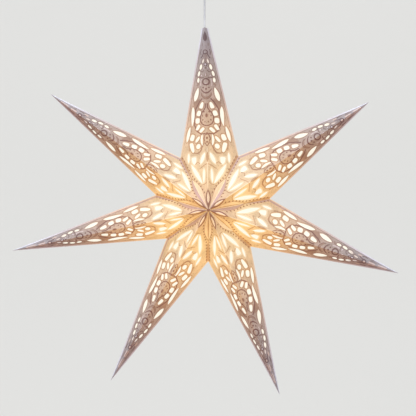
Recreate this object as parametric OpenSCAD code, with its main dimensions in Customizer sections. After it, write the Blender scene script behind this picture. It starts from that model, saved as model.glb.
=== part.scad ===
// Folded paper star lantern with seven rays, hung on its lamp cord from a ceiling cup.
// The ceiling is at z = 0, the cord hangs along the Z axis and the star faces -Y.

/* [Star] */
// Distance from the star's centre to the tip of a ray
ray_len = 300; // [260:1:340]
// Distance from the star's middle plane to its front and back centre points
half_depth = 75; // [68:0.5:80]
// Length cut off the top ray's tip to let the cord out
top_cut = 23; // [20:0.5:30]
// Lean of the top ray from upright, in degrees
top_lean = 1.2; // [0:0.1:2]
// Height of the gap between the cup grip and the cut tip
tip_drop = 55; // [40:1:120]

/* [Paper] */
// Thickness of the cut outer sheet
sheet_t = 0.3; // [0.15:0.05:0.35]
// Thickness of the translucent liner behind it
liner_t = 0.12; // [0.05:0.01:0.15]
// Thickness of the glue flap along each valley
flap_t = 0.15; // [0.1:0.01:0.2]
// Length of a glue flap from the centre outward
flap_len = 42; // [30:1:48]
// Width of a glue flap at its middle
flap_w = 7; // [4:0.5:8]
// Film of glue between two layers
glue_gap = 0.02; // [0.01:0.01:0.04]
// Distance of a face's edge from the ridge fold
ridge_inset = 1.0; // [0.9:0.05:1.3]
// Distance of a face's edge from the valley fold
valley_inset = 0.35; // [0.3:0.05:0.6]
// Distance of a face's edge from the side fold between front and back
side_inset = 0.6; // [0.5:0.05:0.9]
// Diameter of the string that ties the seam
tie_d = 1.2; // [0.8:0.1:1.6]
// Radius of the tie's loop
tie_loop_r = 3.2; // [2.5:0.1:4.5]
// Radius of the tie's knot
tie_knot_r = 1.2; // [1:0.1:1.6]
// Length of the tie's two loose ends along the fold
tie_tail = 6; // [4:0.5:9]
// Distance of the knot from the notch, along the valley
tie_back = 14; // [10:1:30]
// Clearance of the string over the paper
tie_gap = 0.3; // [0.2:0.05:0.5]

/* [Cord] */
// Diameter of the lamp cord
cord_d = 2.8; // [2.4:0.1:3.2]
// Diameter of one insulated core
core_d = 1.1; // [0.8:0.05:1.2]
// Distance between the cord's two bending places
bend_gap = 12; // [10:1:20]
// Radial clearance of the cord in its holes
cord_clear = 0.1; // [0.05:0.01:0.2]

/* [Tip fittings] */
// Height of the cone that fills the inside of the top ray's tip
cone_h = 17; // [12:1:22]
// Distance from the cut tip down to the top of the cone
cone_drop = 6; // [5:0.5:12]
// Height of the clamping stop under the cone
stop_h = 8; // [6:0.5:12]
// Radius of the clamping stop
stop_r = 4.2; // [3.6:0.1:4.6]

/* [Lampholder] */
// Outside radius of the skirt
skirt_r = 20; // [18:0.5:22]
// Wall of the skirt and the dome
skirt_wall = 1.8; // [1.2:0.1:2.2]
// Height of the skirt
skirt_h = 34; // [30:1:38]
// Height of the dome over the skirt
dome_h = 22; // [18:1:26]
// Outside radius of the shade ring
ring_r = 24; // [23:0.5:26]
// Height of the shade ring
ring_h = 6; // [4:0.5:8]
// Radius of the cord grip on the dome
grip_r = 6.5; // [5:0.5:8]
// Height of the cord grip on the dome
grip_h = 12; // [9:1:16]
// Height of the insulating core
core_h = 9; // [7:0.5:11]

/* [Bulb] */
// Radius of the glass globe
globe_r = 22.5; // [20:0.5:23]
// Wall of the glass
glass_t = 0.8; // [0.6:0.1:1.2]
// Radius of the glass neck
neck_r = 12.2; // [11:0.1:12.4]
// Outside radius of the screw cap
cap_r = 13; // [12.9:0.05:13.1]
// Height of the screw cap
cap_h = 20; // [18:0.5:23]
// Running clearance of the screw cap in its shell
cap_clear = 0.08; // [0.05:0.01:0.1]
// Distance that the bulb travels when it is unscrewed
bulb_travel = 22; // [20:1:24]

/* [Ceiling cup] */
// Outside radius of the cup
cup_r = 42; // [38:1:60]
// Height of the cup
cup_h = 58; // [52:1:80]
// Wall of the cup
cup_wall = 1.2; // [0.8:0.1:2]
// Distance between the bracket's two ceiling screw holes
hole_spacing = 50; // [40:1:56]
// Radius of a ceiling screw hole
hole_r = 2.2; // [1.8:0.1:2.8]
// Width of the bracket strap
strap_w = 16; // [12:1:20]
// Thickness of the bracket strap
strap_t = 1.5; // [1:0.1:2]
// Length of the bracket's ears
ear_h = 16; // [14:1:20]
// Height of the cup grip below the cup
cup_grip_h = 11; // [9:1:15]
// Radius of the cup grip
cup_grip_r = 7; // [6:0.5:9]

/* [Hidden] */
$fn = 48;

// Each ray is folded by hand, so its two faces spread by their own angles.
// The faces are counted counter-clockwise from the top tip, two to a ray.
face_spread = [27, 25.5, 20.4, 27.6, 22.8, 25.7, 29.6, 21.3, 28, 22.5, 28.8, 23.5, 27, 30.3];
// Radius of each valley's notch, from the one left of the top ray onward
notch_r = [90, 83, 77, 78, 85, 95, 94];
// Length of each ray as a share of ray_len, from the top ray onward
ray_share = [1, 0.993, 1.014, 0.996, 1.004, 1.016, 0.981];
// How far the cuts of each ray sit from their drawing, low and high on the ray, in hundredths of its length
ray_slide = [[-0.4, -0.2], [-1.1, 1.2], [-1.6, 0.6], [-1.8, 0], [-0.7, 1.2], [0.6, 1.4], [1.2, 2.8]];
faces = len(face_spread);

cup_gap = 0.5;
grip_bottom = -(cup_gap + cup_h + cup_grip_h);
tip_z = grip_bottom - tip_drop;
top_reach = ray_len - top_cut;
star_z = tip_z - top_reach * cos(top_lean);
star_x = top_reach * sin(top_lean);
cord_r = cord_d / 2;
stack_t = sheet_t + liner_t + glue_gap;

// Heights in the lampholder are counted up from the middle of the bulb's globe.
lamp_z = star_z;
neck_top = 32;
cap_low = 27;
cap_top = cap_low + cap_h;
insulator_h = 3;
contact_h = 2;
bulb_top = cap_top + insulator_h + contact_h;
skirt_low = 22;
skirt_top = skirt_low + skirt_h;
dome_top = skirt_top + dome_h;
core_low = bulb_top + 1.2;
shell_wall = 0.6;
fit_gap = 0.05;
cord_end = dome_top - 4;
core_top = core_low + core_h;
ring_low = skirt_low + 17;
dome_straight = core_top - skirt_top + 1;
shoulder_r = 9;
neck_hole_r = 4.95;
neck_meet = 52;
stem_low = 2;
stem_r = 1.5;
terminal_x = 11;
core_x = 7;

// Ceiling fittings
ear_x = cup_r - cup_wall - strap_t;
screw_z = -cup_gap - ear_h * 0.6;
side_screw_r = 1.5;
block_w = 17;
block_d = 10;
block_h = 12;
block_z = -strap_t - block_h;
wire_x = 4;
sheath_top = -34;
cup_round = 8;
cup_grip_hole_r = 5.1;
nut_h = 4;
elbow_swell = 0.05;
core_offset = 0.65;

// The cord that hangs free bends at two places inside and under the grip's mouth.
grip_mouth = 6;
mouth_spread = 30;
bend_top = grip_bottom + grip_mouth;
bend_low = bend_top - bend_gap;
bend_play = 0.8;

// Fittings in the top ray's tip
tip_wall = 0.142;
cone_play = 1.1;
cone_top = tip_z - cone_drop;
cone_low = cone_top - cone_h;
cone_r = tip_wall * (top_cut + cone_drop) - cone_play;
stop_gap = 0.1;

paper = "#e2b695";
cord_grey = "#d3d4d8";

function dir(a) = [cos(a), 0, sin(a)];
function unit(v) = v / norm(v);
function turned(i) = i == 0 ? 90 + top_lean : turned(i - 1) + face_spread[i - 1];

// The cuts of one face are drawn in hundredths of the ray's length, with sides that slope by pattern_slope.
// Each row is: distance from the centre, distance from the ridge, length, width, lean, taper, bow, kind.
pattern_slope = 0.19;
leaf = [1, 1.5];
oval = [1, 1];
cell = [0.65, 0.65];
cuts = [
    [75.33, 1.13, 2.5, 0.8, -12, 0, 0, leaf],
    [72.33, 2.37, 2.83, 1.27, -12, 0, 0, oval],
    [69, 3.4, 2.73, 1.2, -14, 0, 0, oval],
    [65.67, 3.8, 2.53, 1.2, -4, 0, 0, oval],
    [58.5, 4.87, 7.33, 2.13, -16, -0.2, 0, leaf],
    [52.83, 2.37, 3.47, 1.8, -18, -0.35, 0, cell],
    [48.85, 3.87, 2.85, 2.2, -14, -0.12, 0, cell],
    [45.1, 4.6, 2.85, 2.27, -5, 0.05, 0, cell],
    [41.67, 4.47, 3.2, 1.6, -32, 0.1, 0, cell],
    [40.33, 2.47, 3.13, 1.6, -44, 0.1, 0, cell],
    [47.4, 7.2, 10.2, 1.85, -4, 0.3, -0.27, leaf],
    [38.47, 9.45, 8.2, 1.7, -14, 0, 0, leaf],
    [35.4, 2.25, 6.1, 1.2, 0, 0, 0.47, leaf],
    [35.73, 4.77, 3.67, 1.47, -36, 0, 0, oval],
    [32.2, 4.47, 2.67, 2.2, -20, 0, 0, oval],
    [36.77, 7.47, 3.33, 2.2, -20, -0.1, 0, cell],
    [31.63, 7.6, 5.17, 1.93, 14, 0.35, 0, cell],
    [26.17, 2.4, 6.17, 1.73, -22, 0, 0, leaf],
    [25.07, 6.8, 3.67, 2.2, 4, 0.45, 0, cell],
    [26.53, 9.6, 5, 1.2, -2, 0, 0, leaf],
    [18.23, 5.53, 11.33, 1.87, 29, 0, 0, leaf],
    [17.33, 1.93, 7.67, 1.13, -2, 0, 0, leaf]
];
cut_points = 10;

function signed_power(x, e) = sign(x) * pow(abs(x), e);
// The outline of one cut, as [distance from the centre, distance from the ridge] pairs
function cut_outline(c) = [
    for (k = [0:cut_points - 1])
        let (a = 360 * k / cut_points,
            along = c[2] / 2 * signed_power(cos(a), c[7][0]),
            across = c[3] / 2 * signed_power(sin(a), c[7][1]) * (1 + c[5] * cos(a))
                + c[6] * (1 - pow(2 * along / c[2], 2)))
        [c[0] + along * cos(c[4]) - across * sin(c[4]), c[1] + along * sin(c[4]) + across * cos(c[4])]
];

function tip_angle(i) = i % 2 == 0 ? turned(i) : turned(i + 1);
function notch_angle(i) = i % 2 == 0 ? turned(i + 1) : turned(i);
function notch_radius(i) = notch_r[floor(i / 2)];
function ray_of(i) = floor((i + 1) % faces / 2);
function tip_radius(i) = ray_len * ray_share[ray_of(i)];
function slid(u, slide) = u + lookup(u, [[10, 0], [20, slide[0]], [70, slide[1]]]);

// One flat face of the star. side is -1 at the front and 1 at the back.
// In its own plane, p runs from the centre point along the ridge fold and q away from it.
module face(i, side) {
    centre = [star_x, 0, star_z];
    corner = centre + [0, side * half_depth, 0];
    reach = tip_radius(i);
    to_tip = centre + reach * dir(tip_angle(i)) - corner;
    to_notch = centre + notch_radius(i) * dir(notch_angle(i)) - corner;
    ex = unit(to_tip);
    ey = unit(to_notch - (to_notch * ex) * ex);
    ez = cross(ex, ey);
    inward = sign(ez * (centre - corner));
    ridge = norm(to_tip);
    valley = norm(to_notch);
    np = to_notch * ex;
    nq = to_notch * ey;
    edge = norm([ridge - np, nq]);
    spread = face_spread[i];
    slope = notch_radius(i) * sin(spread) / (reach - notch_radius(i) * cos(spread));
    low_p = (valley_inset * valley + ridge_inset * np) / nq;
    far_q = nq - (valley_inset * valley + side_inset * edge) / ridge;
    far_p = (valley_inset * valley + far_q * np) / nq;
    tip_p = ridge - (side_inset * edge + ridge_inset * (ridge - np)) / nq;
    cut_p = top_reach / reach * ridge;
    cut_q = ((ridge - cut_p) * nq - side_inset * edge) / (ridge - np);
    outline = concat(
        [[low_p, ridge_inset]],
        i == 0 || i == faces - 1 ? [[cut_p, ridge_inset], [cut_p, cut_q]] : [[tip_p, ridge_inset]],
        [[far_p, far_q]]
    );
    // From the pattern's own flat drawing to this face's plane
    out = dir(tip_angle(i));
    away = unit(cross(out, [0, 1, 0]));
    q_per_v = 1 / abs(ey * away);
    p_per_u = ridge / reach;
    skew = (ey * out) / (ex * out);
    size = reach / 100;
    slide = ray_slide[ray_of(i)];
    holes = [for (c = cuts) [for (pt = cut_outline(c))
        let (q = pt[1] * size * slope / pattern_slope * q_per_v)
        [slid(pt[0], slide) * size * p_per_u - q * skew, q]]];
    along = [np, nq] / valley;
    off = [nq, -np] / valley;
    flap = [for (s = [[0.2, 0.2], [1, 0.05], [0.85, 0.8], [0.6, 1], [0.35, 0.6]])
        s[0] * flap_len * along + (valley_inset + s[1] * flap_w) * off];
    multmatrix([
        [ex[0], ey[0], ez[0], corner[0]],
        [ex[1], ey[1], ez[1], corner[1]],
        [ex[2], ey[2], ez[2], corner[2]],
        [0, 0, 0, 1]
    ]) {
        layer(inward, 0, sheet_t)
            pierced(outline, holes);
        layer(inward, sheet_t + glue_gap, liner_t)
            polygon(outline);
        layer(inward, stack_t + glue_gap, flap_t)
            polygon(flap);
    }
}

module layer(inward, depth, thick) {
    translate([0, 0, inward > 0 ? depth : -depth - thick])
        linear_extrude(thick)
            children();
}

module pierced(outline, holes) {
    first = len(outline);
    paths = concat(
        [[for (k = [0:first - 1]) k]],
        [for (n = [0:len(holes) - 1]) [for (k = [0:cut_points - 1]) first + n * cut_points + k]]
    );
    polygon(concat(outline, [for (h = holes) for (pt = h) pt]), paths);
}

module rod(from, to, r) {
    v = to - from;
    translate(from)
        rotate([0, acos(v[2] / norm(v)), atan2(v[1], v[0])])
            cylinder(r = r, h = norm(v));
}

// One insulated core with a single bend
module bent_wire(from, bend, to) {
    union() {
        rod(from, bend, core_d / 2);
        rod(bend, to, core_d / 2);
        translate(bend)
            sphere(r = core_d / 2 + elbow_swell);
    }
}

module tube(low, high, outer, inner) {
    translate([0, 0, low])
        difference() {
            cylinder(r = outer, h = high - low);
            translate([0, 0, -1])
                cylinder(r = inner, h = high - low + 2);
        }
}

// A cord swept as one closed skin along a straight route
module swept(route, r, sides = 8) {
    step = 7;
    run = norm(route[1] - route[0]);
    rings = ceil(run / step) + 1;
    points = [for (n = [0:rings - 1]) for (k = [0:sides - 1])
        route[0] + (route[1] - route[0]) * n / (rings - 1)
            + r * [cos(360 * k / sides), sin(360 * k / sides), 0]];
    walls = [for (n = [0:rings - 2]) for (k = [0:sides - 1])
        [n * sides + k, (n + 1) * sides + k, (n + 1) * sides + (k + 1) % sides, n * sides + (k + 1) % sides]];
    low_end = [for (k = [0:sides - 1]) k];
    high_end = [for (k = [sides - 1:-1:0]) (rings - 1) * sides + k];
    polyhedron(points, concat(walls, [low_end, high_end]));
}

module ceiling_bracket() {
    color("silver")
        difference() {
            union() {
                translate([-ear_x, -strap_w / 2, -strap_t])
                    cube([2 * ear_x, strap_w, strap_t]);
                for (s = [-1, 1])
                    translate([s * (ear_x - strap_t / 2) - strap_t / 2, -strap_w / 2, -ear_h])
                        cube([strap_t, strap_w, ear_h]);
            }
            for (s = [-1, 1]) {
                translate([s * hole_spacing / 2, 0, -strap_t - 1])
                    cylinder(r = hole_r, h = strap_t + 2);
                translate([s * (ear_x - strap_t / 2) - strap_t, 0, screw_z])
                    rotate([0, 90, 0])
                        cylinder(r = side_screw_r, h = 2 * strap_t);
            }
        }
}

module terminal_block() {
    color("white")
        difference() {
            translate([-block_w / 2, -block_d / 2, block_z])
                cube([block_w, block_d, block_h]);
            for (s = [-1, 1]) {
                translate([s * wire_x, 0, block_z - 1])
                    cylinder(r = core_d / 2 + 0.6, h = block_h - 2);
                translate([s * wire_x, -block_d / 2 - 1, block_z + 4])
                    rotate([-90, 0, 0])
                        cylinder(r = 1.6, h = block_d / 2);
            }
        }
}

module terminal_screws() {
    color("goldenrod")
        for (s = [-1, 1])
            translate([s * wire_x, -block_d / 2 + 0.4, block_z + 4])
                rotate([-90, 0, 0])
                    difference() {
                        cylinder(r = 1.55, h = 3);
                        translate([-2, -0.3, -1])
                            cube([4, 0.6, 1.6]);
                    }
}

module cord_in_cup() {
    color(cord_grey)
        translate([0, 0, grip_bottom + grip_mouth])
            cylinder(r = cord_r, h = sheath_top - grip_bottom - grip_mouth);
}

module cup_cores() {
    color("saddlebrown")
        for (s = [-1, 1])
            bent_wire([s * core_offset, 0, sheath_top + 0.6], [s * wire_x, 0, block_z - 2],
                [s * wire_x, 0, block_z + 6]);
}

// The cup is a plain spun shell with a rounded lower edge.
module ceiling_cup() {
    color("white")
        difference() {
            rotate_extrude()
                polygon(concat(
                    [[cup_grip_hole_r, -cup_gap - cup_h]],
                    [for (a = [-90:15:0]) [cup_r - cup_round + cup_round * cos(a),
                        -cup_gap - cup_h + cup_round + cup_round * sin(a)]],
                    [[cup_r, -cup_gap], [cup_r - cup_wall, -cup_gap]],
                    [for (a = [0:-15:-90]) [cup_r - cup_round + (cup_round - cup_wall) * cos(a),
                        -cup_gap - cup_h + cup_round + (cup_round - cup_wall) * sin(a)]],
                    [[cup_grip_hole_r, -cup_gap - cup_h + cup_wall]]
                ));
            for (s = [-1, 1])
                translate([s * (cup_r - cup_wall / 2) - 2 * cup_wall, 0, screw_z])
                    rotate([0, 90, 0])
                        cylinder(r = side_screw_r + 0.1, h = 4 * cup_wall);
        }
}

module cup_side_screws() {
    color("silver")
        for (s = [-1, 1])
            translate([0, 0, screw_z])
                rotate([0, s * 90, 0])
                    difference() {
                        union() {
                            translate([0, 0, ear_x - strap_t - 2])
                                cylinder(r = side_screw_r - 0.02, h = cup_r + 2.05 - ear_x + strap_t);
                            translate([0, 0, cup_r + 0.05])
                                cylinder(r1 = 3, r2 = 2.4, h = 1.6);
                        }
                        translate([-4, -0.35, cup_r + 0.9])
                            cube([8, 0.7, 2]);
                    }
}

module cup_grip() {
    color("whitesmoke")
        difference() {
            union() {
                translate([0, 0, grip_bottom])
                    cylinder(r = cup_grip_r, h = cup_grip_h);
                translate([0, 0, -cup_gap - cup_h])
                    cylinder(r = cup_grip_hole_r - fit_gap, h = cup_wall + nut_h + 2);
            }
            translate([0, 0, grip_bottom - 1])
                cylinder(r = cord_r + cord_clear, h = cup_grip_h + cup_wall + nut_h + 4);
            translate([0, 0, grip_bottom - 0.01])
                cylinder(r1 = cord_r + cord_clear + grip_mouth * tan(mouth_spread), r2 = cord_r + cord_clear,
                    h = grip_mouth);
            translate([0, -cup_grip_r - 1, grip_bottom + cup_grip_h - 2.5])
                rotate([-90, 0, 0])
                    cylinder(r = 1.5, h = cup_grip_r);
        }
}

module cup_grip_nut() {
    color("silver")
        difference() {
            translate([0, 0, -cup_gap - cup_h + cup_wall])
                cylinder(r = 8.5, h = nut_h, $fn = 6);
            translate([0, 0, -cup_gap - cup_h])
                cylinder(r = cup_grip_hole_r, h = cup_wall + nut_h + 1);
        }
}

module grub(length, at, r = 1.5) {
    translate(at)
        rotate([-90, 0, 0])
            difference() {
                cylinder(r = r - 0.02, h = length);
                translate([-2 * r, -0.3, -0.01])
                    cube([4 * r, 0.6, 0.8]);
            }
}

module cup_grip_screw() {
    color("silver")
        grub(cup_grip_r - cord_r - 0.3, [0, -cup_grip_r, grip_bottom + cup_grip_h - 2.5]);
}

// The cord that hangs free bends at two places under the grip.
module cord_bend() {
    color(cord_grey)
        swept([[0, 0, bend_low], [0, 0, bend_top - bend_play]], cord_r);
}

module flex_cord() {
    color(cord_grey)
        swept([[0, 0, lamp_z + cord_end], [0, 0, bend_low - bend_play]], cord_r);
}

module tip_cone() {
    color("burlywood")
        difference() {
            translate([0, 0, cone_low])
                cylinder(r1 = cone_r + tip_wall * cone_h, r2 = cone_r, h = cone_h);
            translate([0, 0, cone_low - 1])
                cylinder(r = cord_r + 0.15, h = cone_h + 2);
        }
}

module cord_stop() {
    color("silver")
        difference() {
            translate([0, 0, cone_low - stop_gap - stop_h])
                cylinder(r = stop_r, h = stop_h);
            translate([0, 0, cone_low - stop_h - 1])
                cylinder(r = cord_r + cord_clear, h = stop_h + 2);
            translate([0, -stop_r - 1, cone_low - stop_gap - stop_h / 2])
                rotate([-90, 0, 0])
                    cylinder(r = 1.2, h = stop_r);
        }
}

module cord_stop_screw() {
    color("gray")
        grub(stop_r - cord_r - 0.3, [0, -stop_r, cone_low - stop_gap - stop_h / 2], 1.2);
}

// Lampholder, from the cord grip down
module holder_cord_grip() {
    color("white")
        translate([0, 0, lamp_z])
            difference() {
                union() {
                    translate([0, 0, dome_top])
                        cylinder(r = grip_r, h = grip_h);
                    translate([0, 0, dome_top - skirt_wall - 1])
                        cylinder(r = neck_hole_r - fit_gap, h = skirt_wall + 1.5);
                }
                translate([0, 0, dome_top - skirt_wall - 2])
                    cylinder(r = cord_r + cord_clear, h = grip_h + skirt_wall + 3);
                translate([0, -grip_r - 1, dome_top + grip_h / 2])
                    rotate([-90, 0, 0])
                        cylinder(r = 1.5, h = grip_r);
            }
}

module holder_grip_screw() {
    color("silver")
        grub(grip_r - cord_r - 0.3, [0, -grip_r, lamp_z + dome_top + grip_h / 2]);
}

module holder_dome() {
    color("white")
        translate([0, 0, lamp_z])
            rotate_extrude()
                polygon(concat(
                    [[neck_hole_r, dome_top], [shoulder_r, dome_top]],
                    [for (a = [75:-15:0]) [shoulder_r + (skirt_r - shoulder_r) * cos(a),
                        skirt_top + dome_straight + (dome_h - dome_straight) * sin(a)]],
                    [[skirt_r, skirt_top + 0.05], [skirt_r - skirt_wall, skirt_top + 0.05]],
                    [for (a = [0:15:75]) [shoulder_r + (skirt_r - skirt_wall - shoulder_r) * cos(a),
                        skirt_top + dome_straight + (dome_h - dome_straight - skirt_wall) * sin(a)]],
                    [[neck_hole_r, dome_top - skirt_wall]]
                ));
}

module holder_skirt() {
    color("white")
        translate([0, 0, lamp_z])
            union() {
                tube(skirt_low, skirt_top, skirt_r, skirt_r - skirt_wall);
                for (n = [0:3])
                    tube(skirt_low + 4 + 3 * n, skirt_low + 5.5 + 3 * n, skirt_r + 0.7, skirt_r - 0.5);
            }
}

module holder_ring() {
    color("white")
        translate([0, 0, lamp_z])
            union() {
                tube(ring_low, ring_low + ring_h, skirt_r + 2, skirt_r + fit_gap);
                tube(ring_low, ring_low + 2, ring_r, skirt_r + fit_gap);
            }
}

module holder_core() {
    color("ivory")
        translate([0, 0, lamp_z])
            difference() {
                translate([0, 0, core_low])
                    cylinder(r = skirt_r - skirt_wall - fit_gap, h = core_h);
                for (s = [-1, 1]) {
                    translate([s * core_x, 0, core_top - 5])
                        cylinder(r = core_d / 2 + 0.5, h = 6);
                    translate([s * terminal_x, 0, core_top - 4])
                        cylinder(r = 1.6, h = 5);
                }
            }
}

module holder_terminal_screws() {
    color("goldenrod")
        translate([0, 0, lamp_z])
            for (s = [-1, 1])
                translate([s * terminal_x, 0, core_top - 4])
                    difference() {
                        union() {
                            cylinder(r = 1.55, h = 4.05);
                            translate([0, 0, 4.05])
                                cylinder(r = 2.4, h = 1.4);
                        }
                        translate([-3, -0.3, 4.8])
                            cube([6, 0.6, 2]);
                    }
}

module holder_cores() {
    color("saddlebrown")
        translate([0, 0, lamp_z])
            for (s = [-1, 1])
                bent_wire([s * core_offset, 0, cord_end - 0.6], [s * core_x, 0, core_top + 2.5],
                    [s * core_x, 0, core_top - 4.8]);
}

module holder_screw_shell() {
    color("goldenrod")
        translate([0, 0, lamp_z])
            union() {
                tube(cap_low + 2, core_low, cap_r + cap_clear + shell_wall, cap_r + cap_clear);
                tube(core_low - shell_wall, core_low, skirt_r - skirt_wall - fit_gap, cap_r + cap_clear);
            }
}

module holder_contact() {
    color("goldenrod")
        translate([0, 0, lamp_z])
            union() {
                translate([-1.75, -2.5, core_low - 0.5])
                    cube([9, 5, 0.5]);
                translate([-1.75, -2.5, bulb_top + 0.1])
                    cube([3.5, 5, 0.4]);
                translate([-1.75, -2.5, bulb_top + 0.1])
                    cube([0.5, 5, core_low - bulb_top - 0.1]);
            }
}

// Bulb, hanging with its cap up
module bulb_glass() {
    color("ivory", 0.6)
        translate([0, 0, lamp_z])
            rotate_extrude()
                polygon(concat(
                    [for (a = [-90:9:neck_meet]) globe_r * [cos(a), sin(a)]],
                    [[neck_r, 25], [neck_r, neck_top], [neck_r - glass_t, neck_top], [neck_r - glass_t, 24.4]],
                    [for (a = [neck_meet - 7:-9:-88]) (globe_r - glass_t) * [cos(a), sin(a)]],
                    [[0, -globe_r + glass_t]]
                ));
}

module bulb_screw_cap() {
    color("gainsboro")
        translate([0, 0, lamp_z])
            difference() {
                tube(cap_low, cap_top, cap_r, cap_r - 0.5);
                for (n = [0:3])
                    tube(cap_low + 4 + 3.6 * n, cap_low + 5.6 + 3.6 * n, cap_r + 1, cap_r - 0.25);
            }
}

module bulb_insulator() {
    color("#222222")
        translate([0, 0, lamp_z + cap_top - 0.05])
            difference() {
                union() {
                    translate([0, 0, -1])
                        cylinder(r = cap_r - 0.55, h = 1);
                    cylinder(r1 = cap_r - 1, r2 = 5.5, h = insulator_h);
                }
                translate([0, 0, -2])
                    cylinder(r = 2, h = insulator_h + 3);
            }
}

module bulb_tip_contact() {
    color("silver")
        translate([0, 0, lamp_z + cap_top + insulator_h])
            union() {
                cylinder(r1 = 4.6, r2 = 3.8, h = contact_h);
                translate([0, 0, -3])
                    cylinder(r = 1.95, h = 3);
            }
}

module bulb_stem() {
    color("lightcyan")
        translate([0, 0, lamp_z])
            union() {
                translate([0, 0, stem_low])
                    cylinder(r = stem_r, h = neck_top - 2 - stem_low);
                translate([0, 0, 24])
                    cylinder(r1 = 2.5, r2 = neck_r - glass_t - 0.1, h = neck_top - 24);
            }
}

module bulb_filaments() {
    color("gold")
        translate([0, 0, lamp_z])
            for (a = [0:90:270])
                rotate([0, 0, a])
                    union() {
                        rod([stem_r + 0.35, 0, 19], [8, 0, 11], 0.5);
                        rod([8, 0, 11], [8, 0, -11], 0.8);
                    }
}

// The string that ties the seam at the back, in the valley between the last ray and the top ray
module seam_tie() {
    out = dir(turned(faces - 1));
    notch = notch_r[len(notch_r) - 1];
    along = unit(notch * out - [0, half_depth, 0]);
    up = unit(half_depth * out + [0, notch, 0]);
    side = cross(along, up);
    wall = tip_radius(faces - 1) * dir(tip_angle(faces - 1)) - [0, half_depth, 0];
    in_wall = unit(wall - (wall * along) * along);
    seat = (tie_knot_r + tie_gap) / sin(acos(in_wall * up));
    at = [star_x, 0, star_z] + notch * out - tie_back * along + seat * up;
    color("linen")
        multmatrix([
            [along[0], up[0], side[0], at[0]],
            [along[1], up[1], side[1], at[1]],
            [along[2], up[2], side[2], at[2]],
            [0, 0, 0, 1]
        ])
            union() {
                sphere(r = tie_knot_r);
                translate([0, tie_loop_r, 0])
                    rotate_extrude()
                        translate([tie_loop_r, 0])
                            circle(d = tie_d, $fn = 24);
                for (s = [-1, 1])
                    rod([0, 0, 0], [s * tie_tail, tie_tail / 2, 0], tie_d * 0.45);
            }
}

module ray_face(k, turn, side) {
    color(paper)
        face((2 * (k - 1) + turn + faces) % faces, side);
}

ceiling_bracket();
terminal_block();
terminal_screws();
cord_in_cup();
cup_cores();
ceiling_cup();
cup_side_screws();
cup_grip();
cup_grip_nut();
cup_grip_screw();
cord_bend();
flex_cord();
cord_stop();
cord_stop_screw();
holder_cord_grip();
holder_grip_screw();
holder_dome();
holder_skirt();
holder_ring();
holder_core();
holder_terminal_screws();
holder_cores();
holder_screw_shell();
holder_contact();
bulb_glass();
bulb_screw_cap();
bulb_insulator();
bulb_tip_contact();
bulb_stem();
bulb_filaments();
tip_cone();
seam_tie();

// Ray 1 is the top one, and the rays are counted counter-clockwise as seen from the front.
// Left and right are as seen by someone who looks outward along the ray from the front.
for (k = [1:faces / 2]) {
    ray_face(k, 0, -1);
    ray_face(k, -1, -1);
    ray_face(k, 0, 1);
    ray_face(k, -1, 1);
}
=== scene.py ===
import math

import bpy
import numpy as np
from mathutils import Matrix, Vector, geometry


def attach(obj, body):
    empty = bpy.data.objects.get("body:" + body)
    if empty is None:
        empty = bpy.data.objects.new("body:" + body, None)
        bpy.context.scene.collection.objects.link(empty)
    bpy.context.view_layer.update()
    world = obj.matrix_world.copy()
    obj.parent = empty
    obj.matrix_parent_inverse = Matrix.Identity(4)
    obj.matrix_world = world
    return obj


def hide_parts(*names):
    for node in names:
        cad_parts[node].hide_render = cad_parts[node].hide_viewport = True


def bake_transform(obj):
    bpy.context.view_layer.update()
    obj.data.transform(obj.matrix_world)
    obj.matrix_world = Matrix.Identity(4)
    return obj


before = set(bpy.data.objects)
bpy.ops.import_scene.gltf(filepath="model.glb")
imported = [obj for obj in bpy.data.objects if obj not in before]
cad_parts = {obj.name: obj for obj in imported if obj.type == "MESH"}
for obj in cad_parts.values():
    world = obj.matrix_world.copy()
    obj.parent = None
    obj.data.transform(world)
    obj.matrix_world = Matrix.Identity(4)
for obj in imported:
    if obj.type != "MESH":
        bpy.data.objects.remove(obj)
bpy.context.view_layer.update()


def report(stage):
    print("lantern:", stage)


# Camera, square to the star as in the photograph
view = {
    "distance": 2.5,  # m in front of the star's middle plane
    "frameWidth": 0.6319,  # m across the picture at that plane
    "aim": (0.0052, 0.0, -0.3984),
    "sensor": 36.0,  # mm
    "farthest": 50.0,
}

cameraData = bpy.data.cameras.new("camera")
cameraData.sensor_width = view["sensor"]
cameraData.lens = view["sensor"] * view["distance"] / view["frameWidth"]
cameraData.clip_end = view["farthest"]
camera = bpy.data.objects.new("camera", cameraData)
bpy.context.scene.collection.objects.link(camera)
camera.location = (view["aim"][0], -view["distance"], view["aim"][2])
camera.rotation_euler = (math.radians(90), 0, 0)
bpy.context.scene.camera = camera
bpy.context.scene.view_settings.view_transform = "Standard"


def toLinear(red, green, blue):
    def channel(value):
        value /= 255
        return value / 12.92 if value <= 0.04045 else ((value + 0.055) / 1.055) ** 2.4

    return (channel(red), channel(green), channel(blue), 1.0)


# Shader effects that several materials share
def makeGroup(name, inputs, outputs):
    group = bpy.data.node_groups.new(name, "ShaderNodeTree")
    for label, kind, value in inputs:
        socket = group.interface.new_socket(label, in_out="INPUT", socket_type=kind)
        if value is not None:
            socket.default_value = value
    for label, kind in outputs:
        group.interface.new_socket(label, in_out="OUTPUT", socket_type=kind)
    return group, group.nodes.new("NodeGroupInput"), group.nodes.new("NodeGroupOutput")


def addNode(tree, kind, **settings):
    node = tree.nodes.new(kind)
    for key, value in settings.items():
        if key in node.inputs:
            node.inputs[key].default_value = value
        else:
            setattr(node, key, value)
    return node


starCentre = (0.0058, 0.0, -0.40144)  # m, the middle of the star
rayReach = 0.3  # m from there to a tip


def addBand(tree, value, low, high, first=0.0, last=1.0):
    # Values from low to high become values from first to last
    band = tree.nodes.new("ShaderNodeMapRange")
    for label, number in (("From Min", low), ("From Max", high), ("To Min", first), ("To Max", last)):
        band.inputs[label].default_value = number
    tree.links.new(value, band.inputs["Value"])
    return band.outputs["Result"]


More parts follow.
